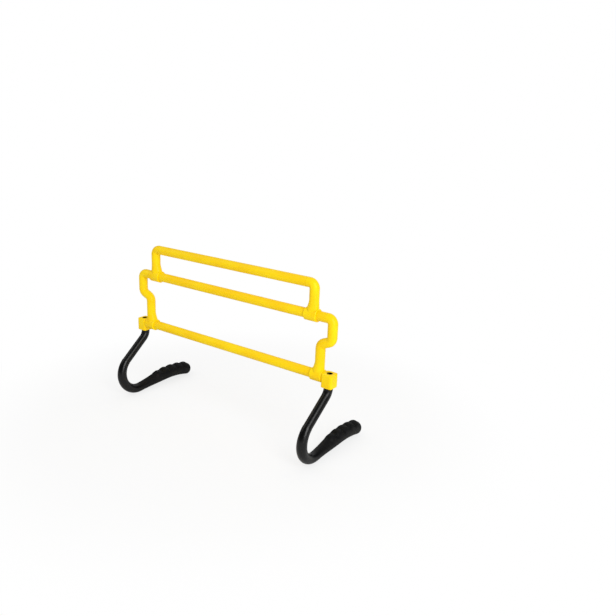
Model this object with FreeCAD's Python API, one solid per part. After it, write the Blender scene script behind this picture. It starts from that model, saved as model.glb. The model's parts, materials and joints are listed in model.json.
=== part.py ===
import FreeCAD, Part
import math
import os
from FreeCAD import Vector

# A folding speed hurdle. The lower bar stands on two curved legs, the middle frame turns on the
# lower bar, and the upper frame turns on the middle bar, so that three heights can be set.
# Millimetres. X runs along the bars, the legs curve forward to -Y, and Z is up from the floor.

# Height of the lower bar's upper edge, and the rise from each bar to the next
LOW_SETTING = 150.0
MIDDLE_RISE = 100.0
UPPER_RISE = 52.0

# Tube of the bars and posts, and the thinner tube of the legs
TUBE_RADIUS = 8.3
LEG_RADIUS = 7.7
TUBE_WALL = 1.8

# Distance from the middle of the hurdle to the feet of the middle posts, and steps from there:
# in to the upper posts, which fold down between them, and out to the wide posts and the sockets
NARROW_POST_X = 202.5
NEST_GAP = 0.4
WIDE_STEP = 21.3
SOCKET_STEP = 19.8

# Fits
GLUE_GAP = 0.05
RUNNING_GAP = 0.05
HUB_END_GAP = 0.3
OVERRUN = 1.0

# Moulded posts: elbow, spigot in the bar's end, and the step out of the middle posts
ELBOW_RADIUS = 9.5
STUB_LENGTH = 3.0
SPIGOT_LENGTH = 25.0
SPIGOT_CHAMFER = 1.0
JOG_DROP = 42.0
JOG_RADIUS = 10.0
JOG_DEGREES = 68.0

# Hubs at the feet of the posts, and the flare that blends each post into its hub
HUB_RADIUS = 11.0
HUB_CHAMFER = 0.8
HUB_INWARD = 14.0
UPPER_HUB_OUTWARD = 10.0
FLARE_HEIGHT = 28.0
FLARE_INSET = 0.4
FLARE_DEPTH = 1.5
FLARE_HEIGHT_SHARES = (0.0, 0.32, 0.6, 1.0)
FLARE_WIDTH_SHARES = (1.0, 0.8, 0.3, 0.0)

# Rubber friction rings, half sunk in the bar and half in the hub
RING_WIDTH = 5.0
RING_IN_BAR = 0.6
RING_IN_HUB = 1.2
RING_SIDE_GAP = 0.1

# Sockets at the ends of the lower bar: square blocks with rounded corners
SOCKET_HALF_WIDTH = 10.5
SOCKET_CORNER_RADIUS = 4.0
SOCKET_ABOVE_BAR = 8.0
SOCKET_BELOW_BAR = 15.8
SOCKET_LIP = 2.5
SOCKET_HOLE_RADIUS = 4.8
SOCKET_EDGE_RADIUS = 1.2
COLLAR_RADIUS = 8.7
COLLAR_STEP = 0.4

# Legs: the knee under the socket, the slanted run, the hoop and the arched foot.
# The legs lean in, so that the feet stand a little closer together than the sockets.
LEG_CANT_DEGREES = 2.2
KNEE_DROP = 26.5
KNEE_RADIUS = 20.0
SLANT_DEGREES = 50.7
HOOP_RADIUS = 36.6
FOOT_RISE_DEGREES = 7.9
FOOT_RUN = 50.5
CROWN_RADIUS = 199.0
FOOT_FALL_DEGREES = 12.6
TIP_RUN = 12.0

# Grips over the hoops and the feet, worn flat where they stand, with finger ridges on the feet
SOLE_WEAR = 0.3
GRIP_START = 2.0
GRIP_START_RADIUS = 8.1
GRIP_HOOP_RADIUS = 8.95
GRIP_HOOP_SHARE = 0.39
GRIP_HOOP_STEPS = 24
GRIP_SWELL_RADIUS = 12.5
GRIP_TIP_RADIUS = 12.4
GRIP_SWELL_SHARE = 0.53
GRIP_PLAIN_SHARE = 0.3
GRIP_PLAIN_STEPS = 8
RIDGE_COUNT = 5
RIDGE_STEPS = 4
RIDGE_HEIGHT = 1.8
GRIP_DOME = 6.0
GRIP_ROUND_SHARE = 0.95
GRIP_END_WALL = 6.0

# Plugs in the ends of the legs, seen in the tips of the grips
PLUG_LENGTH = 6.0
PLUG_HEAD_RADIUS = 5.6
PLUG_DIMPLE_RADIUS = 3.2
PLUG_DIMPLE_DEPTH = 2.0

UPPER_POST_X = NARROW_POST_X - 2 * TUBE_RADIUS - NEST_GAP
WIDE_POST_X = NARROW_POST_X + WIDE_STEP
SOCKET_X = NARROW_POST_X + SOCKET_STEP
LOW_AXIS = LOW_SETTING - TUBE_RADIUS
MIDDLE_AXIS = LOW_AXIS + MIDDLE_RISE
HIGH_AXIS = MIDDLE_AXIS + UPPER_RISE
BORE_RADIUS = TUBE_RADIUS - TUBE_WALL
SPIGOT_RADIUS = BORE_RADIUS - GLUE_GAP
LEG_BORE_RADIUS = LEG_RADIUS - TUBE_WALL
LEG_CANT = math.radians(LEG_CANT_DEGREES)
LOW_BAR_END = SOCKET_X - SOCKET_HALF_WIDTH - COLLAR_STEP
MIDDLE_BAR_END = WIDE_POST_X - ELBOW_RADIUS - STUB_LENGTH
HIGH_BAR_END = UPPER_POST_X - ELBOW_RADIUS - STUB_LENGTH
MIDDLE_HUB_OUTWARD = LOW_BAR_END - HUB_END_GAP - NARROW_POST_X

ALONG_X = Vector(1, 0, 0)
ALONG_Z = Vector(0, 0, 1)


def cylinder_x(radius, x_from, x_to, height):
    """Cylinder along X, in the plane of the frame."""
    return Part.makeCylinder(radius, x_to - x_from, Vector(x_from, 0, height), ALONG_X)


def ring_x(outer, inner, width, x_middle, height):
    """Plain ring round the X direction, centred on x_middle."""
    x_from = x_middle - width / 2
    body = cylinder_x(outer, x_from, x_from + width, height)
    return body.cut(cylinder_x(inner, x_from - OVERRUN, x_from + width + OVERRUN, height))


def bent_path(start, heading, steps, place):
    """Edges of straight runs and tangent arcs in one plane, as a tube is bent.

    heading is in degrees from the plane's first axis. A step is a run, the radius of the bend
    after it and the turn in degrees, left for a positive turn. place puts a plane point in space.
    """
    edges = []
    a, b = start
    angle = math.radians(heading)
    for run, radius, turn in steps:
        end = (a + run * math.cos(angle), b + run * math.sin(angle))
        edges.append(Part.LineSegment(place(a, b), place(*end)).toShape())
        a, b = end
        if turn == 0:
            continue
        side = math.copysign(1, turn)
        centre = (a - side * radius * math.sin(angle), b + side * radius * math.cos(angle))
        points = []
        for part in (0, 0.5, 1):
            toward = angle + math.radians(turn) * part
            points.append((centre[0] + side * radius * math.sin(toward),
                           centre[1] - side * radius * math.cos(toward)))
        edges.append(Part.Arc(*[place(*point) for point in points]).toShape())
        a, b = points[-1]
        angle += math.radians(turn)
    return edges


def swept_rod(path, radius):
    """Round rod along a path."""
    first = path.Edges[0]
    start = first.valueAt(first.FirstParameter)
    ring = Part.Wire(Part.Circle(start, first.tangentAt(first.FirstParameter), radius).toShape())
    return path.makePipeShell([ring], True, False)


def on_frame(x, z):
    """Point in the plane of the frame."""
    return Vector(x, 0, z)


def on_leg(forward, height):
    """Point in the plane of the right leg, which leans in below the lower bar."""
    rise = height - LOW_AXIS
    return Vector(SOCKET_X + rise * math.sin(LEG_CANT), -forward, LOW_AXIS + rise * math.cos(LEG_CANT))


def crossbar(half_length, height, groove_x=None):
    """Cut length of tube, with a groove for a friction ring near each end of a bar that carries hubs."""
    bar = cylinder_x(TUBE_RADIUS, -half_length, half_length, height)
    bar = bar.cut(cylinder_x(BORE_RADIUS, -half_length - OVERRUN, half_length + OVERRUN, height))
    if groove_x is None:
        return bar
    groove_width = RING_WIDTH + 2 * RING_SIDE_GAP
    for x in (-groove_x, groove_x):
        bar = bar.cut(ring_x(TUBE_RADIUS + OVERRUN, TUBE_RADIUS - RING_IN_BAR, groove_width, x, height))
    return bar


def ring_middle(post_x, outward):
    """Place of the friction ring along the bar: the middle of its hub."""
    return post_x + (outward - HUB_INWARD) / 2


def friction_ring(post_x, outward, height):
    """Rubber ring that holds a frame at the angle it is set to."""
    return ring_x(TUBE_RADIUS + RING_IN_HUB, TUBE_RADIUS - RING_IN_BAR + RUNNING_GAP, RING_WIDTH,
                  ring_middle(post_x, outward), height)


def hub_body(post_x, outward, height):
    """Sleeve round the bar, chamfered at both ends."""
    inner_x = post_x - HUB_INWARD
    outer_x = post_x + outward
    rim = HUB_RADIUS - HUB_CHAMFER
    outline = [(inner_x, 0), (inner_x, rim), (inner_x + HUB_CHAMFER, HUB_RADIUS),
               (outer_x - HUB_CHAMFER, HUB_RADIUS), (outer_x, rim), (outer_x, 0), (inner_x, 0)]
    section = Part.Face(Part.makePolygon([on_frame(x, height + reach) for x, reach in outline]))
    return section.revolve(on_frame(0, height), ALONG_X, 360)


def hub_bore(post_x, outward, height):
    """What is cut from a hub: the bore for the bar and the groove for the friction ring."""
    bore = cylinder_x(TUBE_RADIUS + RUNNING_GAP, post_x - HUB_INWARD - OVERRUN,
                      post_x + outward + OVERRUN, height)
    groove = cylinder_x(TUBE_RADIUS + RING_IN_HUB + GLUE_GAP, 0, RING_WIDTH + 2 * RING_SIDE_GAP, height)
    groove.translate(Vector(ring_middle(post_x, outward) - groove.BoundBox.XLength / 2, 0, 0))
    return bore.fuse(groove)


def flare(post_x, outward, height):
    """Blend from the hub's length down to the round post, wider on the inner side."""
    inward_reach = HUB_INWARD - FLARE_INSET - TUBE_RADIUS
    outward_reach = max(outward - FLARE_INSET - TUBE_RADIUS, 0)
    sections = []
    for up, wide in zip(FLARE_HEIGHT_SHARES, FLARE_WIDTH_SHARES):
        left = -TUBE_RADIUS - wide * inward_reach
        right = TUBE_RADIUS + wide * outward_reach
        middle = Vector(post_x + (left + right) / 2, 0, height + up * FLARE_HEIGHT)
        half_width = Vector((right - left) / 2, 0, 0)
        half_depth = Vector(0, TUBE_RADIUS + wide * FLARE_DEPTH, 0)
        if wide:
            curve = Part.Ellipse(middle + half_width, middle + half_depth, middle)
        else:
            curve = Part.Circle(middle, ALONG_Z, TUBE_RADIUS)
        sections.append(Part.Wire(curve.toShape()))
    return Part.makeLoft(sections, True, False)


def spigot(shoulder_x, height):
    """Plug that is glued into the end of a bar, pointing to the middle of the hurdle."""
    end_x = shoulder_x - SPIGOT_LENGTH
    tip = SPIGOT_RADIUS - SPIGOT_CHAMFER
    outline = [(end_x, 0), (end_x, tip), (end_x + SPIGOT_CHAMFER, SPIGOT_RADIUS),
               (shoulder_x, SPIGOT_RADIUS), (shoulder_x, 0), (end_x, 0)]
    section = Part.Face(Part.makePolygon([on_frame(x, height + reach) for x, reach in outline]))
    return section.revolve(on_frame(0, height), ALONG_X, 360)


def moulded_post(post_x, outward, hub_height, path, bar_end, bar_height):
    """Post in one moulding: hub, flare, bent rod and spigot."""
    post = hub_body(post_x, outward, hub_height)
    post = post.fuse([flare(post_x, outward, hub_height), swept_rod(Part.Wire(path), TUBE_RADIUS),
                      spigot(bar_end, bar_height)])
    return post.cut(hub_bore(post_x, outward, hub_height)).removeSplitter()


def middle_post():
    """Right post of the middle frame, which steps out so that the upper frame can nest in it."""
    half_turn = math.radians(JOG_DEGREES)
    step = WIDE_POST_X - NARROW_POST_X - 2 * JOG_RADIUS * (1 - math.cos(half_turn))
    slant = step / math.sin(half_turn)
    jog_height = 2 * JOG_RADIUS * math.sin(half_turn) + slant * math.cos(half_turn)
    start = LOW_AXIS + FLARE_HEIGHT
    jog_start = MIDDLE_AXIS - JOG_DROP - jog_height / 2
    elbow_start = MIDDLE_AXIS - ELBOW_RADIUS
    path = bent_path((NARROW_POST_X, start), 90, [
        (jog_start - start, JOG_RADIUS, -JOG_DEGREES),
        (slant, JOG_RADIUS, JOG_DEGREES),
        (elbow_start - jog_start - jog_height, ELBOW_RADIUS, 90),
        (STUB_LENGTH, 0, 0)], on_frame)
    return moulded_post(NARROW_POST_X, MIDDLE_HUB_OUTWARD, LOW_AXIS, path, MIDDLE_BAR_END, MIDDLE_AXIS)


def upper_post():
    """Right post of the upper frame."""
    start = MIDDLE_AXIS + FLARE_HEIGHT
    path = bent_path((UPPER_POST_X, start), 90, [
        (HIGH_AXIS - ELBOW_RADIUS - start, ELBOW_RADIUS, 90),
        (STUB_LENGTH, 0, 0)], on_frame)
    return moulded_post(UPPER_POST_X, UPPER_HUB_OUTWARD, MIDDLE_AXIS, path, HIGH_BAR_END, HIGH_AXIS)


def socket_block(bottom, top):
    """Upright block of the right socket, with rounded corners and edges."""
    width = 2 * SOCKET_HALF_WIDTH
    block = Part.makeBox(width, width, top - bottom,
                         Vector(SOCKET_X - SOCKET_HALF_WIDTH, -SOCKET_HALF_WIDTH, bottom))
    corners = [edge for edge in block.Edges if abs(edge.tangentAt(edge.FirstParameter).z) == 1]
    block = block.makeFillet(SOCKET_CORNER_RADIUS, corners)
    rims = [edge for edge in block.Edges if edge.BoundBox.ZLength < OVERRUN]
    return block.makeFillet(SOCKET_EDGE_RADIUS, rims)


def leg_socket():
    """Right end piece of the lower bar: a block round the leg's end, closed above by a holed lip."""
    bottom = LOW_AXIS - SOCKET_BELOW_BAR
    top = LOW_AXIS + SOCKET_ABOVE_BAR
    socket = socket_block(bottom, top)
    socket = socket.fuse([cylinder_x(COLLAR_RADIUS, LOW_BAR_END, SOCKET_X, LOW_AXIS),
                          spigot(LOW_BAR_END, LOW_AXIS)])
    start = on_leg(0, bottom - OVERRUN)
    bore = Part.makeCylinder(LEG_RADIUS + RUNNING_GAP, leg_top() - bottom + OVERRUN, start,
                             on_leg(0, leg_top()) - start)
    hole = Part.makeCylinder(SOCKET_HOLE_RADIUS, SOCKET_ABOVE_BAR + OVERRUN, on_leg(0, LOW_AXIS), ALONG_Z)
    return socket.cut([bore, hole]).removeSplitter()


def leg_top():
    """Height of the leg's upper end, which bears on the underside of the socket's lip."""
    return LOW_AXIS + SOCKET_ABOVE_BAR - SOCKET_LIP


def leg_paths():
    """Lines of the leg from its upper end to the hoop, round the hoop and along the foot."""
    slant = math.radians(SLANT_DEGREES)
    tangent = KNEE_RADIUS * math.tan(slant / 2)
    knee = LOW_AXIS - KNEE_DROP
    hoop_low = LOW_AXIS - (LOW_AXIS - GRIP_HOOP_RADIUS + SOLE_WEAR) / math.cos(LEG_CANT)
    hoop_start = hoop_low + HOOP_RADIUS * (1 + math.sin(slant))
    slanted_run = (knee - tangent * math.cos(slant) - hoop_start) / math.cos(slant)
    shank = [(leg_top() - knee - tangent, KNEE_RADIUS, SLANT_DEGREES),
             (slanted_run, HOOP_RADIUS, -(SLANT_DEGREES + 90 + FOOT_RISE_DEGREES))]
    foot = [(FOOT_RUN, CROWN_RADIUS, FOOT_RISE_DEGREES + FOOT_FALL_DEGREES),
            (TIP_RUN - GRIP_END_WALL, 0, 0)]
    edges = bent_path((0, leg_top()), -90, shank + foot, on_leg)
    foot_at = 2 * len(shank)
    return [Part.Wire(run) for run in (edges[:foot_at - 1], edges[foot_at - 1:foot_at], edges[foot_at:])]


def along(path, distance):
    """Point and direction at a distance along a path, which runs straight on past its end."""
    for edge in path.Edges:
        if distance <= edge.Length:
            break
        distance -= edge.Length
    else:
        distance += edge.Length
    at = edge.getParameterByLength(min(distance, edge.Length))
    direction = edge.tangentAt(at)
    return edge.valueAt(at) + direction * max(distance - edge.Length, 0), direction


def leg_tube():
    """Right leg: one bent tube, open at both ends."""
    shank, hoop, foot = leg_paths()
    line = Part.Wire(shank.Edges + hoop.Edges + foot.Edges)
    return swept_rod(line, LEG_RADIUS).cut(swept_rod(line, LEG_BORE_RADIUS))


def eased(low, high, part):
    """Value between two sizes, with a smooth start and end."""
    return low + (high - low) * (1 - math.cos(min(part, 1) * math.pi)) / 2


def hoop_radius(share):
    """Radius of the grip at a share of the hoop."""
    return eased(GRIP_START_RADIUS, GRIP_HOOP_RADIUS, share / GRIP_HOOP_SHARE)


def foot_radius(share):
    """Radius of the grip's plain underside at a share of the foot."""
    if share < GRIP_SWELL_SHARE:
        return eased(GRIP_HOOP_RADIUS, GRIP_SWELL_RADIUS, share / GRIP_SWELL_SHARE)
    return eased(GRIP_SWELL_RADIUS, GRIP_TIP_RADIUS, (share - GRIP_SWELL_SHARE) / (1 - GRIP_SWELL_SHARE))


def grip_section(path, distance, radius, ridge=0):
    """Circle of the grip, raised on its upper side where a ridge crosses it."""
    middle, direction = along(path, distance)
    downward = direction.cross(ALONG_X)
    lift = ridge * RIDGE_HEIGHT / 2
    ring = Part.Wire(Part.makeCircle(radius + lift))
    ring.Placement = FreeCAD.Placement(middle - downward * lift,
                                       FreeCAD.Rotation(ALONG_X, downward, direction, "ZXY"))
    return ring


def foot_grip():
    """Rubber grip on the right leg: a sleeve round the hoop, which swells along the foot."""
    hoop, foot = leg_paths()[1:]
    length = foot.Length + GRIP_END_WALL - GRIP_DOME
    sections = []
    for step in range(GRIP_HOOP_STEPS):
        share = step / GRIP_HOOP_STEPS
        place = GRIP_START + (hoop.Length - GRIP_START) * share
        sections.append(grip_section(hoop, place, hoop_radius(share)))
    for step in range(GRIP_PLAIN_STEPS):
        share = GRIP_PLAIN_SHARE * step / GRIP_PLAIN_STEPS
        sections.append(grip_section(foot, length * share, foot_radius(share)))
    for step in range(RIDGE_COUNT * RIDGE_STEPS + 1):
        ridge = abs(math.sin(step * math.pi / RIDGE_STEPS))
        share = GRIP_PLAIN_SHARE + (1 - GRIP_PLAIN_SHARE) * step / (RIDGE_COUNT * RIDGE_STEPS)
        sections.append(grip_section(foot, length * share, foot_radius(share), ridge))
    grip = Part.makeLoft(sections, True, True)
    grip = grip.fuse(grip_dome(foot, length))
    line = Part.Wire(hoop.Edges + foot.Edges)
    grip = grip.cut([swept_rod(line, LEG_RADIUS + GLUE_GAP), plug_hole(foot)])
    box = grip.BoundBox
    under = Part.makeBox(box.XLength + 2 * OVERRUN, box.YLength + 2 * OVERRUN, HOOP_RADIUS,
                         Vector(box.XMin - OVERRUN, box.YMin - OVERRUN, -HOOP_RADIUS))
    return grip.cut(under).removeSplitter()


def grip_dome(foot, length):
    """Rounded end of the grip."""
    base, direction = along(foot, length)
    disc = Part.makeCylinder(GRIP_TIP_RADIUS, GRIP_DOME, base, direction)
    far = max((edge for edge in disc.Edges if edge.Closed), key=lambda edge: abs(edge.CenterOfMass.y))
    return disc.makeFillet(GRIP_DOME * GRIP_ROUND_SHARE, [far])


def plug_hole(foot):
    """Round hole through the grip's end wall for the plug's head."""
    end, direction = along(foot, foot.Length)
    return Part.makeCylinder(PLUG_HEAD_RADIUS + GLUE_GAP, GRIP_END_WALL + OVERRUN, end, direction)


def foot_plug():
    """Plug in the right leg's lower end, with a dimpled head that shows in the grip's tip."""
    foot = leg_paths()[2]
    end, direction = along(foot, foot.Length)
    stem = Part.makeCylinder(LEG_BORE_RADIUS - GLUE_GAP, PLUG_LENGTH, end, direction * -1)
    head = Part.makeCylinder(PLUG_HEAD_RADIUS, GRIP_END_WALL, end, direction)
    tip = along(foot, foot.Length + GRIP_END_WALL)[0]
    dimple = Part.makeCylinder(PLUG_DIMPLE_RADIUS, PLUG_DIMPLE_DEPTH + OVERRUN,
                               tip + direction * OVERRUN, direction * -1)
    return stem.fuse(head).cut(dimple).removeSplitter()


def build():
    """All the pieces by name, with the plane of the frame at Y zero."""
    middle_ring_x = ring_middle(UPPER_POST_X, UPPER_HUB_OUTWARD)
    lower_ring_x = ring_middle(NARROW_POST_X, MIDDLE_HUB_OUTWARD)
    pieces = {
        "lower_crossbar": crossbar(LOW_BAR_END, LOW_AXIS, lower_ring_x),
        "middle_crossbar": crossbar(MIDDLE_BAR_END, MIDDLE_AXIS, middle_ring_x),
        "upper_crossbar": crossbar(HIGH_BAR_END, HIGH_AXIS),
    }
    paired = {
        "leg_socket": leg_socket(),
        "middle_post": middle_post(),
        "lower_friction_ring": friction_ring(NARROW_POST_X, MIDDLE_HUB_OUTWARD, LOW_AXIS),
        "upper_post": upper_post(),
        "middle_friction_ring": friction_ring(UPPER_POST_X, UPPER_HUB_OUTWARD, MIDDLE_AXIS),
        "leg_tube": leg_tube(),
        "foot_grip": foot_grip(),
        "foot_plug": foot_plug(),
    }
    for name, shape in paired.items():
        pieces["right_" + name] = shape
        pieces["left_" + name] = shape.mirror(Vector(0, 0, 0), ALONG_X)
    return pieces


def centring(pieces):
    """Move along Y that brings the middle of the hurdle's depth to zero."""
    box = Part.makeCompound(list(pieces.values())).optimalBoundingBox(False, False)
    return Vector(0, -(box.YMin + box.YMax) / 2, 0)


if __name__ == "__main__":
    os.makedirs("parts", exist_ok=True)
    hurdle = build()
    move = centring(hurdle)
    for node, solid in hurdle.items():
        solid.translate(move)
        solid.exportStep("parts/" + node + ".step")
    print("plane of the frame at Y", round(move.y, 3))
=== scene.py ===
import json
import math

import bmesh
import bpy
from mathutils import Matrix, Vector


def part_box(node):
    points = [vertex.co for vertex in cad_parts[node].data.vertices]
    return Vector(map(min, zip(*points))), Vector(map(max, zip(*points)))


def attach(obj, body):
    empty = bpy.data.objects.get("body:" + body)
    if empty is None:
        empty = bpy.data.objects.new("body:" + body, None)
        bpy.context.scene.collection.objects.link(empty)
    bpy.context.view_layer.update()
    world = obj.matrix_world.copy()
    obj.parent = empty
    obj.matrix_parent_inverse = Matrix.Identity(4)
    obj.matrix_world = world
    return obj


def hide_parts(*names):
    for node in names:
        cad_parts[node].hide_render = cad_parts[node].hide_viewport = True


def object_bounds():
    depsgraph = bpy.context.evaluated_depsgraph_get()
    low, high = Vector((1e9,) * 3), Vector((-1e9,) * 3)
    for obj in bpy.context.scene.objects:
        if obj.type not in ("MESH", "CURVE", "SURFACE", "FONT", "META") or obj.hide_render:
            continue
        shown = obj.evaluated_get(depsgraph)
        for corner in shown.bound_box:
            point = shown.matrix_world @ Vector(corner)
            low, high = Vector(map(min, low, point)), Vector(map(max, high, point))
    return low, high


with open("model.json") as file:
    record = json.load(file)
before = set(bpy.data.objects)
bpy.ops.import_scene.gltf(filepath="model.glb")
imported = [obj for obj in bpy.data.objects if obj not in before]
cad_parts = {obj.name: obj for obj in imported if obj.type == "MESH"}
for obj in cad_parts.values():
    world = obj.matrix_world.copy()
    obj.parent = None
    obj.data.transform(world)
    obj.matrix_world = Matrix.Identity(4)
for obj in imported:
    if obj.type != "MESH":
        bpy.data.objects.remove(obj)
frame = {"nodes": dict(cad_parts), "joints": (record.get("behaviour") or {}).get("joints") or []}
solids = frame["nodes"]
cad_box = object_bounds()

# Lower crossbar: the bar that carries everything, a cut length of plastic tube.
# It is drawn through a die in bright yellow, so it has faint lines along its length.
# The spigots of the leg sockets are glued into its ends.


class Signal:
    """An output of a node tree. Sums of signals and numbers add Math nodes to the tree."""

    def __init__(self, tree, socket=None):
        self.tree = tree
        self.socket = socket

    def node(self, kind, settings=None, values=None, output=0):
        """A node of any type: its settings first, then the values or links of its sockets."""
        made = self.tree.nodes.new(kind)
        for name, value in (settings or {}).items():
            setattr(made, name, value)
        for name, value in (values or {}).items():
            if isinstance(value, Signal):
                self.tree.links.new(value.socket, made.inputs[name])
            else:
                made.inputs[name].default_value = value
        return Signal(self.tree, made.outputs[output])

    def beside(self, output):
        """Another output of the same node."""
        return Signal(self.tree, self.socket.node.outputs[output])

    def maths(self, operation, *values):
        """A Math node on signals and numbers."""
        return self.node("ShaderNodeMath", {"operation": operation}, dict(enumerate(values)))

    def __add__(self, other):
        return self.maths("ADD", self, other)

    def __sub__(self, other):
        return self.maths("SUBTRACT", self, other)

    def __rsub__(self, other):
        return self.maths("SUBTRACT", other, self)

    def __mul__(self, other):
        return self.maths("MULTIPLY", self, other)

    def __truediv__(self, other):
        return self.maths("DIVIDE", self, other)

    def __abs__(self):
        return self.maths("ABSOLUTE", self)

    __radd__ = __add__
    __rmul__ = __mul__

    def rise(self, low, high):
        """0 below low, 1 above high, and smooth between them."""
        return self.node("ShaderNodeMapRange", {"interpolation_type": "SMOOTHSTEP"},
                         {"Value": self, "From Min": low, "From Max": high})

    def split(self):
        """The three parts of a vector."""
        first = self.node("ShaderNodeSeparateXYZ", values={"Vector": self})
        return [first.beside(axis) for axis in "XYZ"]

    def place(self):
        """Object coordinates as three signals."""
        return self.node("ShaderNodeTexCoord", output="Object").split()

    def noise(self, scale, detail, stretch=(1, 1, 1)):
        """Noise in object space. scale is in cells for each metre."""
        place = self.node("ShaderNodeTexCoord", output="Object")
        place = self.node("ShaderNodeMapping", values={"Vector": place, "Scale": stretch})
        return self.node("ShaderNodeTexNoise",
                         values={"Vector": place, "Scale": scale, "Detail": detail})

    def mixed(self, colour_a, colour_b):
        """Colour between two colours, by this signal."""
        # A Mix node has its two colours at sockets 6 and 7, and the mixed one at output 2
        return self.node("ShaderNodeMix", {"data_type": "RGBA"},
                         {"Factor": self, 6: colour_a, 7: colour_b}, output=2)

    def bump(self, depth, strength):
        """Normal of a surface that this signal raises by up to depth, in metres."""
        return self.node("ShaderNodeBump",
                         values={"Height": self, "Distance": depth, "Strength": strength})


def weighed(layers, base=0, **weights):
    """A base value plus the named layers, each times its weight."""
    total = base
    for name, weight in weights.items():
        total = layers[name] * weight + total
    return total


def new_material(name):
    """New material, the signal that starts its expressions, and its surface shader."""
    material = bpy.data.materials.new(name)
    material.use_nodes = True
    tree = material.node_tree
    return material, Signal(tree), tree.nodes["Principled BSDF"]


def feed(shader, **signals):
    """Links signals to the sockets of the shader that vary over the surface."""
    for name, signal in signals.items():
        signal.tree.links.new(signal.socket, shader.inputs[name.replace("_", " ")])


def dress(node, material):
    """Gives a solid of the frame its material."""
    solids[node].data.materials.clear()
    solids[node].data.materials.append(material)


SUN_YELLOW = (0.98, 0.70, 0.003, 1)
AMBER_YELLOW = (0.95, 0.61, 0.002, 1)
YELLOW_SPECULAR = 0.15
SEAM_BROWN = (0.50, 0.27, 0.002, 1)
SEAM_WIDTH = 0.0004
SEAM_CORE = 0.0001
SEAM_SHARE = 0.8
DRAWN_LINES = {"scale": 900, "detail": 3, "stretch": (0.012, 1, 1)}
DRAWN_CLOUDS = {"scale": 34, "detail": 2, "stretch": (0.45, 1, 1)}
DRAWN_GRAIN = {"scale": 2600, "detail": 1}
DRAWN_TINT = {"clouds": 0.75, "lines": 0.25}
DRAWN_TINT_RANGE = (0.36, 0.64)
DRAWN_ROUGHNESS = {"base": 0.30, "lines": 0.10, "clouds": 0.08}
DRAWN_RELIEF = {"lines": 0.7, "grain": 0.3, "seam": -1.0}
DRAWN_BUMP = {"depth": 0.00006, "strength": 0.6}


def drawn_yellow(node):
    """Yellow tube with drawing lines along it and a dark hairline of glue at its ends."""
    material, start, shader = new_material("drawn_yellow_" + node)
    bar_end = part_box(node)[1].x
    along = start.place()[0]
    layers = {
        "lines": start.noise(**DRAWN_LINES),
        "clouds": start.noise(**DRAWN_CLOUDS),
        "grain": start.noise(**DRAWN_GRAIN),
        "seam": abs(along).rise(bar_end - SEAM_WIDTH, bar_end - SEAM_CORE),
    }
    tint = weighed(layers, **DRAWN_TINT).rise(*DRAWN_TINT_RANGE)
    colour = tint.mixed(AMBER_YELLOW, SUN_YELLOW)
    feed(shader,
         Base_Color=(layers["seam"] * SEAM_SHARE).mixed(colour, SEAM_BROWN),
         Roughness=weighed(layers, **DRAWN_ROUGHNESS),
         Normal=weighed(layers, **DRAWN_RELIEF).bump(**DRAWN_BUMP))
    shader.inputs["Specular IOR Level"].default_value = YELLOW_SPECULAR
    return material


dress("lower_crossbar", drawn_yellow("lower_crossbar"))

# Leg sockets: rounded square blocks at the ends of the lower bar, moulded in the same yellow.
# Each has a collar and a spigot glued into the bar, and a lip above with a hole in it.
# The two halves of the mould leave a fine line in the plane of the frame.
SIDES = ("left", "right")
MOULD_LINE = 0.00022
MOULD_LINE_CORE = MOULD_LINE / 3
LIP_HOLE_RADIUS = 0.0048
# Black painted on the wall of the hole in each socket's lip, as painted shade in the hole
HOLE_SHADE_BLACK = (0.006, 0.005, 0.003, 1)
HOLE_SHADE_RANGE = (LIP_HOLE_RADIUS + 0.0001, LIP_HOLE_RADIUS + 0.0005)
MOULDED_FLOW = {"scale": 46, "detail": 3, "stretch": (1, 1, 0.6)}
MOULDED_GRAIN = {"scale": 3200, "detail": 2}
MOULDED_SCUFFS = {"scale": 420, "detail": 4, "stretch": (1, 1, 0.25)}
FLOW_RANGE = (0.34, 0.66)
SCUFF_RANGE = (0.66, 0.74)
MOULDED_ROUGHNESS = {"base": 0.28, "flow": 0.10, "scuffs": 0.16, "grain": 0.06}
MOULDED_RELIEF = {"grain": 0.35, "line": 0.65}
MOULDED_BUMP = {"depth": 0.00007, "strength": 0.6}

frame_plane = (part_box("lower_crossbar")[0].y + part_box("lower_crossbar")[1].y) / 2


def leg_axis(side):
    """Point at which a leg turns in its socket, and the direction of its axis, upwards."""
    swivel = next(joint for joint in frame["joints"] if joint["name"] == side + "_leg_swivel")
    axis = Vector(swivel["axis"])
    return Vector(swivel["pos_m"]), axis * math.copysign(1, axis.z)


def hole_painted_shade(x, y, z):
    """Share of painted shade, in black, on the wall of the hole in the lip above the leg."""
    pivot, up = leg_axis("right")
    out_of_line = abs(x) - (z - pivot.z) * (up.x / up.z) - pivot.x
    across = y - pivot.y
    from_axis = x.maths("SQRT", out_of_line * out_of_line + across * across)
    return 1 - from_axis.rise(*HOLE_SHADE_RANGE)


def moulded_yellow(name, shade_share=None):
    """Yellow moulding with soft flow clouds, a fine grain and the line where the mould closes.

    The optional last argument gives the share of black painted on each place as painted shade.
    """
    material, start, shader = new_material(name)
    x, y, z = start.place()
    layers = {
        "flow": start.noise(**MOULDED_FLOW),
        "grain": start.noise(**MOULDED_GRAIN),
        "scuffs": start.noise(**MOULDED_SCUFFS).rise(*SCUFF_RANGE),
        "line": 1 - abs(y - frame_plane).rise(MOULD_LINE_CORE, MOULD_LINE),
    }
    colour = layers["flow"].rise(*FLOW_RANGE).mixed(AMBER_YELLOW, SUN_YELLOW)
    # Painted shade: the wall of the hole is painted black
    if shade_share:
        colour = shade_share(x, y, z).mixed(colour, HOLE_SHADE_BLACK)
    feed(shader,
         Base_Color=colour,
         Roughness=weighed(layers, **MOULDED_ROUGHNESS),
         Normal=weighed(layers, **MOULDED_RELIEF).bump(**MOULDED_BUMP))
    shader.inputs["Specular IOR Level"].default_value = YELLOW_SPECULAR
    return material


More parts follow.
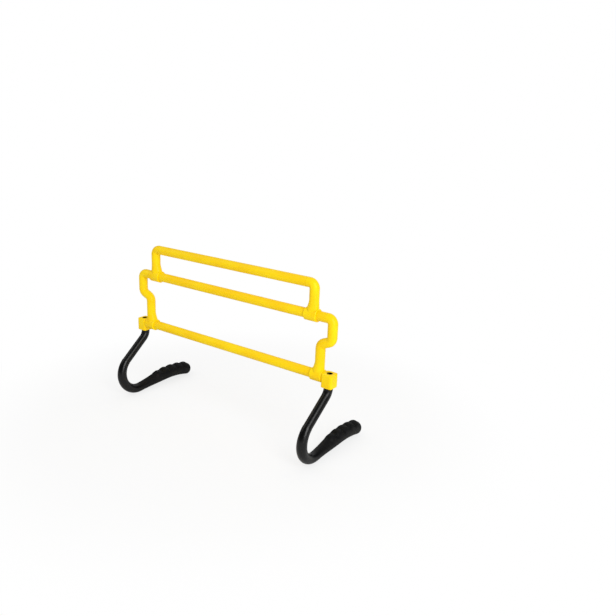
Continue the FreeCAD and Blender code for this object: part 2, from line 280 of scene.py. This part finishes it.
socket_yellow = moulded_yellow("socket_yellow", shade_share=hole_painted_shade)
for side in SIDES:
    dress(side + "_leg_socket", socket_yellow)

# Middle frame: two stepped posts whose hubs turn on the lower bar, and the middle bar.
# The posts are injection moulded, and the bar is the same drawn tube, glued on their spigots.
# A rubber ring inside each hub holds the frame at the angle that it is set to.
RUBBER_BLACK = (0.0014, 0.0014, 0.0015, 1)
RUBBER_GREY = (0.0042, 0.0042, 0.0045, 1)
GRAIN_DETAIL = 3
GRAIN_RANGE = (0.3, 0.7)
GRAIN_STRENGTH = 0.5
RING_GRAIN = {"cells": 1500, "depth": 0.00008, "roughness": 0.68, "spread": 0.20}


def grained_black(name, black, grey, cells, depth, roughness, spread):
    """Matt black with a fine grain, of so many cells for each metre and so deep."""
    material, start, shader = new_material(name)
    grain = start.noise(cells, GRAIN_DETAIL)
    feed(shader,
         Base_Color=grain.rise(*GRAIN_RANGE).mixed(black, grey),
         Roughness=roughness + grain * spread,
         Normal=grain.bump(depth, GRAIN_STRENGTH))
    return material


ring_rubber = grained_black("ring_rubber", RUBBER_BLACK, RUBBER_GREY, **RING_GRAIN)
post_yellow = moulded_yellow("post_yellow")
dress("middle_crossbar", drawn_yellow("middle_crossbar"))
for side in SIDES:
    dress(side + "_middle_post", post_yellow)
    dress(side + "_lower_friction_ring", ring_rubber)

# Upper frame: two straight posts whose hubs turn on the middle bar, and the upper bar.
# It is made and put together as the middle frame is, and nests inside it when it is folded.
dress("upper_crossbar", drawn_yellow("upper_crossbar"))
for side in SIDES:
    dress(side + "_upper_post", post_yellow)
    dress(side + "_middle_friction_ring", ring_rubber)

# Legs: black plastic tube, bent warm to a knee, a hoop at the floor and an arched foot.
# The surface is satin, with faint lines of the drawing, and dusty close to the floor.
# Each leg is pushed up into its socket and can turn there.
TUBE_BLACK = (0.0014, 0.0014, 0.0015, 1)
TUBE_GREY = (0.0040, 0.0040, 0.0043, 1)
TUBE_SPECULAR = 0.36
TUBE_CLOUDS = {"scale": 60, "detail": 3}
TUBE_LINES = {"scale": 700, "detail": 3, "stretch": (1, 0.06, 0.06)}
TUBE_GRAIN = {"scale": 2400, "detail": 2}
TUBE_TINT_RANGE = (0.3, 0.7)
TUBE_ROUGHNESS = {"base": 0.25, "clouds": 0.08, "lines": 0.08, "dust": 0.3}
TUBE_RELIEF = {"grain": 0.5, "lines": 0.5}
TUBE_BUMP = {"depth": 0.00006, "strength": 0.5}
DUST_GREY = (0.030, 0.029, 0.028, 1)
DUST_HEIGHT = 0.006
DUST_SPECKS = {"scale": 500, "detail": 4}
DUST_RANGE = (0.42, 0.68)
DUST_SHARE = 0.6


def floor_dust(start):
    """Specks of dust on what is close to the floor, from 0 to 1."""
    height = start.place()[2]
    return (1 - height.rise(0, DUST_HEIGHT)) * start.noise(**DUST_SPECKS).rise(*DUST_RANGE)


def satin_black():
    """Satin black plastic, dull and dusty close to the floor."""
    material, start, shader = new_material("satin_black")
    layers = {
        "clouds": start.noise(**TUBE_CLOUDS),
        "lines": start.noise(**TUBE_LINES),
        "grain": start.noise(**TUBE_GRAIN),
        "dust": floor_dust(start),
    }
    colour = layers["clouds"].rise(*TUBE_TINT_RANGE).mixed(TUBE_BLACK, TUBE_GREY)
    feed(shader,
         Base_Color=(layers["dust"] * DUST_SHARE).mixed(colour, DUST_GREY),
         Roughness=weighed(layers, **TUBE_ROUGHNESS),
         Normal=weighed(layers, **TUBE_RELIEF).bump(**TUBE_BUMP))
    shader.inputs["Specular IOR Level"].default_value = TUBE_SPECULAR
    return material


leg_black = satin_black()
for side in SIDES:
    dress(side + "_leg_tube", leg_black)

# Foot grips: rubber sleeves pushed on over the feet and round the hoops, thin where they begin.
# They swell along the feet, with finger ridges on top and a fine diamond texture all round,
# and they are worn flat where the hoops and the tips stand on the floor.
LEG_RADIUS = 0.0077
SLANT = math.radians(50.7)
HOOP_RADIUS = 0.0366
FOOT_RISE = math.radians(7.9)
FOOT_RUN = 0.0505
CROWN_RADIUS = 0.199
FOOT_FALL = math.radians(12.6)
TIP_RUN = 0.012
SOLE_WEAR = 0.0003
GRIP_HOOP_RADIUS = 0.00895
GRIP_DOME = 0.006
GRIP_SIZES = {
    "Start": 0.002,
    "Hoop": HOOP_RADIUS * (SLANT + math.pi / 2 + FOOT_RISE),
    "Foot": FOOT_RUN + CROWN_RADIUS * (FOOT_RISE + FOOT_FALL) + TIP_RUN - GRIP_DOME,
    "Dome": GRIP_DOME,
    "End Wall": 0.006,
    "Bore Radius": 0.00775,
    "Start Radius": 0.0081,
    "Hoop Radius": GRIP_HOOP_RADIUS,
    "Swell Radius": 0.0125,
    "Tip Radius": 0.0124,
    "Rim Radius": 0.0067,
    "Hole Radius": 0.00565,
    "Hoop Share": 0.39,
    "Swell Share": 0.53,
    "Plain Share": 0.3,
    "Ridges": 5.0,
    "Ridge Height": 0.0033,
    "Ridge Falloff": 3.0,
    "Valley Share": 0.28,
    "Valley Fade": 0.1,
}
GRIP_ROWS = 720
GRIP_COLUMNS = 72
# The share of the rows at which each stretch of the sleeve ends, from its mouth to the tip
# outside and back inside: the plug's hole, the seat of the tube's end and the bore
GRIP_ROW_ENDS = {
    "mouth": 0.008, "hoop": 0.25, "foot": 0.75, "dome": 0.817,
    "rim": 0.825, "hole": 0.833, "seat": 0.841, "bore": 1.0,
}
LINE_ARCS = 3
LINE_STEPS = 48
ABOVE_FLOOR = (-1, -1, 0)
WELD = 0.000001


def grip_line(side):
    """Curve of the leg's axis in the grip: the hoop, a rising run, the crown's arc and the tip."""
    pivot, up = leg_axis(side)
    back = Vector((0, 1, 0))
    hoop_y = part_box(side + "_leg_tube")[0].y + LEG_RADIUS + HOOP_RADIUS
    hoop_low = (GRIP_HOOP_RADIUS - SOLE_WEAR - pivot.z) / up.z
    centre = Vector((pivot.x, hoop_y, pivot.z)) + up * (hoop_low + HOOP_RADIUS)

    def arc_handle(radius, turn):
        """Length of the handles with which a curve follows an arc."""
        return radius * 4 / 3 * math.tan(turn / 4)

    def run_handle(run):
        """Length of the handles with which a curve follows a straight run."""
        return run / 3

    # Stations: the place, the direction, and the handles before and after it
    stations = []
    arc = (SLANT + math.pi / 2 + FOOT_RISE) / LINE_ARCS
    handle = arc_handle(HOOP_RADIUS, arc)
    for step in range(LINE_ARCS + 1):
        heading = SLANT - math.pi / 2 - arc * step
        place = centre + HOOP_RADIUS * (math.sin(heading) * back + math.cos(heading) * up)
        along = math.sin(heading) * up - math.cos(heading) * back
        stations.append([place, along, handle, handle])
    hoop_end, rising = stations[-1][:2]
    stations[-1][3] = run_handle(FOOT_RUN)
    falling = math.cos(FOOT_FALL) * back - math.sin(FOOT_FALL) * up
    crown_start = hoop_end + rising * FOOT_RUN
    crown_end = crown_start + CROWN_RADIUS * (
        (math.sin(FOOT_RISE) + math.sin(FOOT_FALL)) * back
        + (math.cos(FOOT_FALL) - math.cos(FOOT_RISE)) * up)
    handle = arc_handle(CROWN_RADIUS, FOOT_RISE + FOOT_FALL)
    tip_handle = run_handle(TIP_RUN)
    stations.append([crown_start, rising, run_handle(FOOT_RUN), handle])
    stations.append([crown_end, falling, handle, tip_handle])
    stations.append([crown_end + falling * TIP_RUN, falling, tip_handle, tip_handle])

    curve = bpy.data.curves.new(side + "_grip_line", "CURVE")
    curve.dimensions = "3D"
    curve.resolution_u = LINE_STEPS
    spline = curve.splines.new("BEZIER")
    spline.bezier_points.add(len(stations) - 1)
    for point, (place, along, before, after) in zip(spline.bezier_points, stations):
        point.handle_left_type = point.handle_right_type = "FREE"
        point.co = place
        point.handle_left = place - along * before
        point.handle_right = place + along * after
    return curve


def grip_tree():
    """Geometry nodes of a grip: a grid wrapped round the leg's line, with ridges on the foot."""
    tree = bpy.data.node_groups.new("finger_grip", "GeometryNodeTree")
    tree.interface.new_socket("Line", in_out="INPUT", socket_type="NodeSocketGeometry")
    for name in GRIP_SIZES:
        tree.interface.new_socket(name, in_out="INPUT", socket_type="NodeSocketFloat")
    for name in ("Rows", "Columns"):
        tree.interface.new_socket(name, in_out="INPUT", socket_type="NodeSocketInt")
    tree.interface.new_socket("Rubber", in_out="INPUT", socket_type="NodeSocketMaterial")
    tree.interface.new_socket("Grip", in_out="OUTPUT", socket_type="NodeSocketGeometry")
    entry = tree.nodes.new("NodeGroupInput")
    size = {socket.name: Signal(tree, socket) for socket in entry.outputs if socket.name}
    start = Signal(tree)

    def vector(operation, first, second, second_socket=1):
        """A Vector Math node on two vectors, or on a vector and a number for its scale."""
        return start.node("ShaderNodeVectorMath", {"operation": operation},
                          {0: first, second_socket: second})

    # The grid is 1 by 1 about its middle: X runs along the grip and Y runs round it
    grid = start.node("GeometryNodeMeshGrid", values={
        "Size X": 1.0, "Size Y": 1.0, "Vertices X": size["Rows"], "Vertices Y": size["Columns"]})
    grid_place = start.node("GeometryNodeInputPosition").split()
    along = grid_place[0] + 0.5
    turn = grid_place[1] * math.tau

    # Each stretch of rows goes from 0 where it begins to 1 where it ends
    rows = {}
    begin = 0
    for name, end in GRIP_ROW_ENDS.items():
        share = (along - begin) / (end - begin)
        rows[name] = start.node("ShaderNodeClamp", values={"Value": share})
        begin = end
    hoop, foot = rows["hoop"], rows["foot"]
    dome = rows["dome"] * (math.pi / 2)
    dome_side = start.maths("COSINE", dome)
    bore_length = size["Hoop"] + size["Foot"] + size["Dome"] - size["End Wall"] - size["Start"]
    distance = (size["Start"]
                + hoop * (size["Hoop"] - size["Start"])
                + foot * size["Foot"]
                + start.maths("SINE", dome) * size["Dome"]
                - rows["hole"] * size["End Wall"]
                - rows["bore"] * bore_length)
    radius = (size["Start Radius"]
              - (1 - rows["mouth"]) * (size["Start Radius"] - size["Bore Radius"])
              + hoop.rise(0, size["Hoop Share"]) * (size["Hoop Radius"] - size["Start Radius"])
              + foot.rise(0, size["Swell Share"]) * (size["Swell Radius"] - size["Hoop Radius"])
              + foot.rise(size["Swell Share"], 1) * (size["Tip Radius"] - size["Swell Radius"])
              - (1 - dome_side) * (size["Tip Radius"] - size["Rim Radius"])
              - rows["rim"] * (size["Rim Radius"] - size["Hole Radius"])
              + rows["seat"] * (size["Bore Radius"] - size["Hole Radius"]))

    # Ridges: scallops with narrow valleys, highest at the top and fading to nothing at the sides
    ridged = (foot - size["Plain Share"]) / (1 - size["Plain Share"])
    ridged = start.maths("MAXIMUM", ridged, 0.0)
    ridge = abs(start.maths("SINE", ridged * size["Ridges"] * math.pi))
    valley = ridged.rise(0, size["Valley Fade"]) * size["Valley Share"] * dome_side
    upper = start.maths("COSINE", turn)
    crest = start.maths("POWER", start.maths("MAXIMUM", upper, 0.0), size["Ridge Falloff"])
    reach = radius + (ridge - valley) * size["Ridge Height"] * crest

    # Each row goes to its place on the leg's line, and nothing goes below the floor
    centre = start.node("GeometryNodeSampleCurve", {"mode": "LENGTH"},
                        {"Curves": size["Line"], "Length": distance}, output="Position")
    upward = vector("CROSS_PRODUCT", (1, 0, 0), centre.beside("Tangent"))
    upward = vector("SCALE", upward, reach * upper, "Scale")
    sideways = start.node("ShaderNodeCombineXYZ", values={"X": reach * start.maths("SINE", turn)})
    place = vector("ADD", vector("ADD", upward, sideways), centre)
    place = vector("MAXIMUM", place, ABOVE_FLOOR)

    # The distances along and round the sleeve are kept for the texture
    pattern = start.node("ShaderNodeCombineXYZ", values={"X": distance, "Y": turn, "Z": ridge})
    sleeve = start.node("GeometryNodeStoreNamedAttribute",
                        {"data_type": "FLOAT_VECTOR", "domain": "POINT"},
                        {"Geometry": grid, "Name": "grip_pattern", "Value": pattern})
    sleeve = start.node("GeometryNodeSetPosition", values={"Geometry": sleeve, "Position": place})
    sleeve = start.node("GeometryNodeSetShadeSmooth", values={"Geometry": sleeve})
    sleeve = start.node("GeometryNodeRealizeInstances", values={"Geometry": sleeve})
    sleeve = start.node("GeometryNodeSetMaterial",
                        values={"Geometry": sleeve, "Material": size["Rubber"]})
    leave = tree.nodes.new("NodeGroupOutput")
    tree.links.new(sleeve.socket, leave.inputs["Grip"])
    return tree


GRIP_SPECULAR = 0.28
GRIP_GRAIN = {"scale": 1800, "detail": 3}
GRIP_CLOUDS = {"scale": 70, "detail": 2}
# The tint takes in the tops of the ridge crests, which paints them lighter as a painted highlight
GRIP_TINT = {"clouds": 0.7, "crest_wear_and_highlight": 0.3}
GRIP_TINT_RANGE = (0.2, 0.8)
GRIP_ROUGHNESS = {"base": 0.24, "foot": 0.24, "grain": 0.10}
GRIP_BUMP = {"depth": 0.00035, "strength": 0.6}
FINISH_FADE = 0.03
HOOP_COAT = 0.25
HOOP_COAT_ROUGHNESS = 0.28
HOOP_GRAIN_RELIEF = 0.10
FOOT_GRAIN_RELIEF = 0.25
DIAMONDS_ALONG = 1600
DIAMONDS_ROUND = 14
DIAMOND_RELIEF = 0.55
DIAMOND_LOSS = 0.45
CREST_WEAR_HIGHLIGHT_RIDGE = (0.55, 0.95)
CREST_WEAR_HIGHLIGHT_TOP = (0.1, 0.7)


def grip_rubber():
    """Black rubber: smooth and sheeny on the hoop, matt on the foot, with a diamond texture.

    The texture is worn down on the crests of the ridges, the tops of the crests are painted
    lighter as a painted highlight, and dust lies close to the floor.
    """
    material, start, shader = new_material("grip_rubber")
    kept = start.node("ShaderNodeAttribute", {"attribute_name": "grip_pattern"}, output="Vector")
    along, turn, ridge = kept.split()
    foot = along.rise(GRIP_SIZES["Hoop"] - FINISH_FADE, GRIP_SIZES["Hoop"] + FINISH_FADE)
    top = start.maths("COSINE", turn)
    layers = {
        "foot": foot,
        "grain": start.noise(**GRIP_GRAIN),
        "clouds": start.noise(**GRIP_CLOUDS),
        # Tops of the ridge crests: the diamond texture is worn down there, and their colour is
        # painted lighter as a painted highlight
        "crest_wear_and_highlight": ridge.rise(*CREST_WEAR_HIGHLIGHT_RIDGE) * top.rise(*CREST_WEAR_HIGHLIGHT_TOP) * foot,
    }
    rows, columns = along * DIAMONDS_ALONG, turn * DIAMONDS_ROUND
    diamonds = start.maths("SINE", rows + columns) * start.maths("SINE", rows - columns) * foot
    relief = (diamonds * (DIAMOND_RELIEF - layers["crest_wear_and_highlight"] * DIAMOND_LOSS)
              + layers["grain"] * (HOOP_GRAIN_RELIEF + foot * FOOT_GRAIN_RELIEF))
    tint = weighed(layers, **GRIP_TINT).rise(*GRIP_TINT_RANGE)
    colour = tint.mixed(RUBBER_BLACK, RUBBER_GREY)
    feed(shader,
         Base_Color=(floor_dust(start) * DUST_SHARE).mixed(colour, DUST_GREY),
         Roughness=weighed(layers, **GRIP_ROUGHNESS),
         Coat_Weight=(1 - foot) * HOOP_COAT,
         Normal=relief.bump(**GRIP_BUMP))
    shader.inputs["Specular IOR Level"].default_value = GRIP_SPECULAR
    shader.inputs["Coat Roughness"].default_value = HOOP_COAT_ROUGHNESS
    return material


grip_nodes = grip_tree()
grip_inputs = {**GRIP_SIZES, "Rows": GRIP_ROWS, "Columns": GRIP_COLUMNS, "Rubber": grip_rubber()}
for side in SIDES:
    line = bpy.data.objects.new(side + "_grip_line", grip_line(side))
    bpy.context.scene.collection.objects.link(line)
    wrap = line.modifiers.new("grip", "NODES")
    wrap.node_group = grip_nodes
    for socket in grip_nodes.interface.items_tree:
        if socket.in_out == "INPUT" and socket.name in grip_inputs:
            wrap[socket.identifier] = grip_inputs[socket.name]
    depsgraph = bpy.context.evaluated_depsgraph_get()
    mesh = bpy.data.meshes.new_from_object(line.evaluated_get(depsgraph))
    bpy.data.objects.remove(line)

    # The grid's edges meet along the sleeve and at its mouth, where they are welded
    sleeve = bmesh.new()
    sleeve.from_mesh(mesh)
    bmesh.ops.remove_doubles(sleeve, verts=sleeve.verts, dist=WELD)
    bmesh.ops.recalc_face_normals(sleeve, faces=sleeve.faces)
    sleeve.to_mesh(mesh)
    sleeve.free()
    grip = bpy.data.objects.new(side + "_finger_grip", mesh)
    bpy.context.scene.collection.objects.link(grip)
    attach(grip, side + "_leg")
    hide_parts(side + "_foot_grip")

# Foot plugs: small stoppers moulded in black plastic, pressed into the lower ends of the legs.
# Their dimpled heads show as a ring in the tips of the grips.
PLUG_BLACK = (0.010, 0.010, 0.011, 1)
PLUG_GREY = (0.020, 0.020, 0.021, 1)
PLUG_GRAIN = {"cells": 2200, "depth": 0.00006, "roughness": 0.42, "spread": 0.16}

plug_plastic = grained_black("plug_plastic", PLUG_BLACK, PLUG_GREY, **PLUG_GRAIN)
for side in SIDES:
    dress(side + "_foot_plug", plug_plastic)

# Stage: a plain white floor with a faint shadow near the hurdle, which fades to white further off.
# Gloss shows it dimmed, so that the edges of the black legs stay dark.
FLOOR_SIZE = 12.0
FLOOR_GREY = (0.86, 0.86, 0.86, 1)
FLOOR_ROUGHNESS = 0.9
PURE_WHITE = (1, 1, 1, 1)
SHADOW_RANGE = (0.30, 0.55)
SHADOW_SHARE = 0.25
FLOOR_DIM = 0.30

half = FLOOR_SIZE / 2
floor_mesh = bpy.data.meshes.new("floor")
floor_mesh.from_pydata([(-half, -half, 0), (half, -half, 0), (half, half, 0), (-half, half, 0)],
                       [], [(0, 1, 2, 3)])
floor = bpy.data.objects.new("floor", floor_mesh)
bpy.context.scene.collection.objects.link(floor)
floor_white, start, shader = new_material("floor_white")
shader.inputs["Base Color"].default_value = FLOOR_GREY
shader.inputs["Roughness"].default_value = FLOOR_ROUGHNESS
shader.inputs["Specular IOR Level"].default_value = 0
x, y = start.place()[:2]
far = start.maths("SQRT", x * x + y * y).rise(*SHADOW_RANGE)
seen = start.node("ShaderNodeLightPath", output="Is Camera Ray")
glossy = seen.beside("Is Glossy Ray")
white = start.node("ShaderNodeEmission", values={"Color": PURE_WHITE, "Strength": 1.0})
unlit = start.node("ShaderNodeEmission", values={"Strength": 0.0})
surface = start.node("ShaderNodeMixShader", values={
    0: (1 - SHADOW_SHARE + far * SHADOW_SHARE) * seen,
    1: Signal(start.tree, shader.outputs[0]),
    2: white})
surface = start.node("ShaderNodeMixShader", values={0: glossy * FLOOR_DIM, 1: surface, 2: unlit})
start.tree.links.new(surface.socket, start.tree.nodes["Material Output"].inputs["Surface"])
floor_mesh.materials.append(floor_white)

# Light: white all round, which gloss shows almost dark, a tall soft lamp on the right in front,
# a weak one on the left in front and a broad one behind.
WORLD_SEEN = 1.0
WORLD_LIGHT = 0.62
WORLD_GLOSS = 0.05

world = bpy.data.worlds.new("studio")
bpy.context.scene.world = world
world.use_nodes = True
backdrop = world.node_tree.nodes["Background"]
backdrop.inputs["Color"].default_value = PURE_WHITE
seen = Signal(world.node_tree).node("ShaderNodeLightPath", output="Is Camera Ray")
glossy = seen.beside("Is Glossy Ray")
strength = (WORLD_LIGHT + seen * (WORLD_SEEN - WORLD_LIGHT)
            + glossy * (WORLD_GLOSS - WORLD_LIGHT))
feed(backdrop, Strength=strength)


def soft_lamp(name, place, width, height, power):
    """Area lamp that faces the middle of the hurdle and doesn't show itself."""
    lamp = bpy.data.lights.new(name, "AREA")
    lamp.shape = "RECTANGLE"
    lamp.size = width
    lamp.size_y = height
    lamp.energy = power
    holder = bpy.data.objects.new(name, lamp)
    holder.visible_camera = False
    holder.location = place
    middle = (cad_box[0] + cad_box[1]) / 2
    holder.rotation_euler = (middle - Vector(place)).to_track_quat("-Z", "Y").to_euler()
    bpy.context.scene.collection.objects.link(holder)


soft_lamp("key_lamp", place=(1.7, -0.8, 1.1), width=0.9, height=1.8, power=26)
soft_lamp("fill_lamp", place=(-1.3, -0.6, 1.3), width=1.2, height=1.2, power=4)
soft_lamp("back_lamp", place=(-0.6, 1.8, 1.6), width=3.0, height=2.4, power=11)

# Camera: at the photograph's place and angle, found from the straight lines of the bars and posts.
# Its focal length is given in pixels of a picture as wide as the photograph.
CAMERA_FROM_BAR = Vector((0.7334, -0.8054, 0.3933))
CAMERA_YAW = math.radians(-34.78)
CAMERA_PITCH = math.radians(16.19)
CAMERA_ROLL = math.radians(2.56)
FOCAL_PIXELS = 631.5
IMAGE_PIXELS = 616
SENSOR_WIDTH = 36

camera = bpy.data.cameras.new("camera")
camera.sensor_width = SENSOR_WIDTH
camera.lens = SENSOR_WIDTH * FOCAL_PIXELS / IMAGE_PIXELS
viewer = bpy.data.objects.new("camera", camera)
forward = Vector((math.sin(CAMERA_YAW) * math.cos(CAMERA_PITCH),
                  math.cos(CAMERA_YAW) * math.cos(CAMERA_PITCH),
                  -math.sin(CAMERA_PITCH)))
level = Vector((math.cos(CAMERA_YAW), -math.sin(CAMERA_YAW), 0))
upright = level.cross(forward)
rightward = math.cos(CAMERA_ROLL) * level + math.sin(CAMERA_ROLL) * upright
upward = math.cos(CAMERA_ROLL) * upright - math.sin(CAMERA_ROLL) * level
bar_middle = sum(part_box("lower_crossbar"), Vector()) / 2
viewer.matrix_world = Matrix.Translation(bar_middle + CAMERA_FROM_BAR) @ Matrix(
    (rightward, upward, -forward)).transposed().to_4x4()
bpy.context.scene.collection.objects.link(viewer)
bpy.context.scene.camera = viewer
bpy.context.scene.view_settings.view_transform = "Standard"
